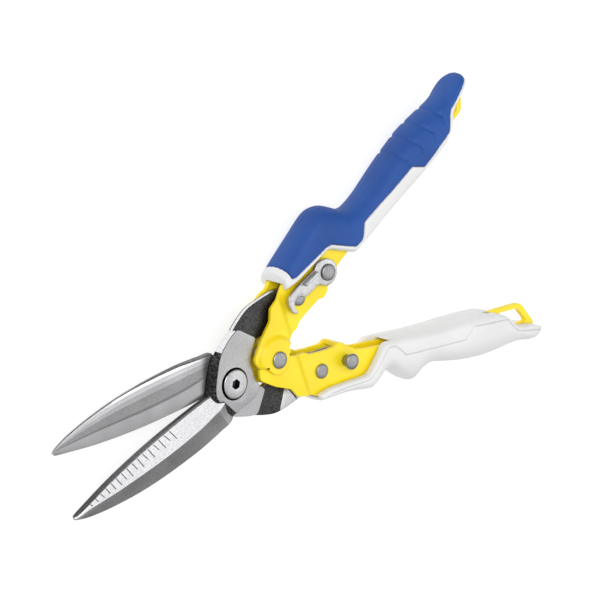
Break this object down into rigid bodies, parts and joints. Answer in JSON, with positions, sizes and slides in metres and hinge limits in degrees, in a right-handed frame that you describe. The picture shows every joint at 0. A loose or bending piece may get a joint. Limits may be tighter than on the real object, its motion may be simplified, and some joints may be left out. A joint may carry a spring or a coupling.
{
  "type": "aviation snips",
  "caption": "Compound-action metal shear with long straight blades, linked sheet-steel handles, moulded grips, torsion spring and swinging closing latch.",
  "frame": {"origin": "centre of the pivot screw's flat end face on the underside, on the blade pivot axis", "axes": "+Z along the blade pivot axis toward the latch side, +X from the blades toward the handles along the tool's centre line, +Y toward the handle that carries the latch"},
  "size_m": [0.2451, 0.1229, 0.0204],
  "materials": {
    "forged_steel": "ground and forged",
    "dark_steel": "black oxide, satin",
    "zinc_steel": "zinc plated, satin",
    "rivet_steel": "satin",
    "stamped_steel": "stamped sheet, satin",
    "yellow_powder_coat": "powder coat",
    "white_moulding": "moulded, fine texture",
    "blue_soft_grip": "soft moulding, fine texture",
    "spring_steel": "wire, satin"
  },
  "bodies": {
    "front_blade": {"front_blade": "forged_steel", "pivot_screw": "dark_steel", "pivot_nut": "dark_steel", "pivot_washer": "zinc_steel"},
    "rear_blade": {"rear_blade": "forged_steel"},
    "upper_handle": {"upper_handle_channel": "yellow_powder_coat", "upper_link_rivet": "rivet_steel", "handle_rivet": "rivet_steel", "handle_spring": "spring_steel", "spring_sleeve": "zinc_steel", "latch_rivet": "rivet_steel", "latch_spring_washer": "spring_steel", "upper_grip_core": "white_moulding", "upper_grip_cover": "blue_soft_grip", "upper_hang_loop": "yellow_powder_coat"},
    "lower_handle": {"lower_handle_channel": "yellow_powder_coat", "lower_link_rivet": "rivet_steel", "latch_stud": "rivet_steel", "lower_grip_core": "white_moulding", "lower_grip_cover": "white_moulding", "lower_hang_loop": "yellow_powder_coat"},
    "latch": {"latch_hook": "stamped_steel"}
  },
  "joints": [
    {"name": "upper_link_pivot", "type": "hinge", "parent": "front_blade", "child": "upper_handle", "pos_m": [0.0417, 0.0171, 0.009], "axis": [0, 0, 1], "range_deg": [-8.6, 0.1]},
    {"name": "handle_pivot", "type": "hinge", "parent": "upper_handle", "child": "lower_handle", "pos_m": [0.0215, 0, 0.009], "axis": [0, 0, 1], "range_deg": [0, 35.4], "stiffness_Nm_per_rad": 0.4, "springref_deg": -34.38, "deforming": ["handle_spring"]},
    {"name": "blade_pivot", "type": "hinge", "parent": "front_blade", "child": "rear_blade", "pos_m": [0, 0, 0.009], "axis": [0, 0, 1], "range_deg": [-0.1, 18.5]},
    {"name": "latch_pivot", "type": "hinge", "parent": "upper_handle", "child": "latch", "pos_m": [0.057, 0.0214, 0.009], "axis": [0, 0, 1], "range_deg": [0, 82.6]}
  ],
  "couplings": [
    {"joint": "upper_link_pivot", "follows": "handle_pivot", "ratio": -0.2403},
    {"joint": "blade_pivot", "follows": "handle_pivot", "ratio": 0.5195}
  ]
}
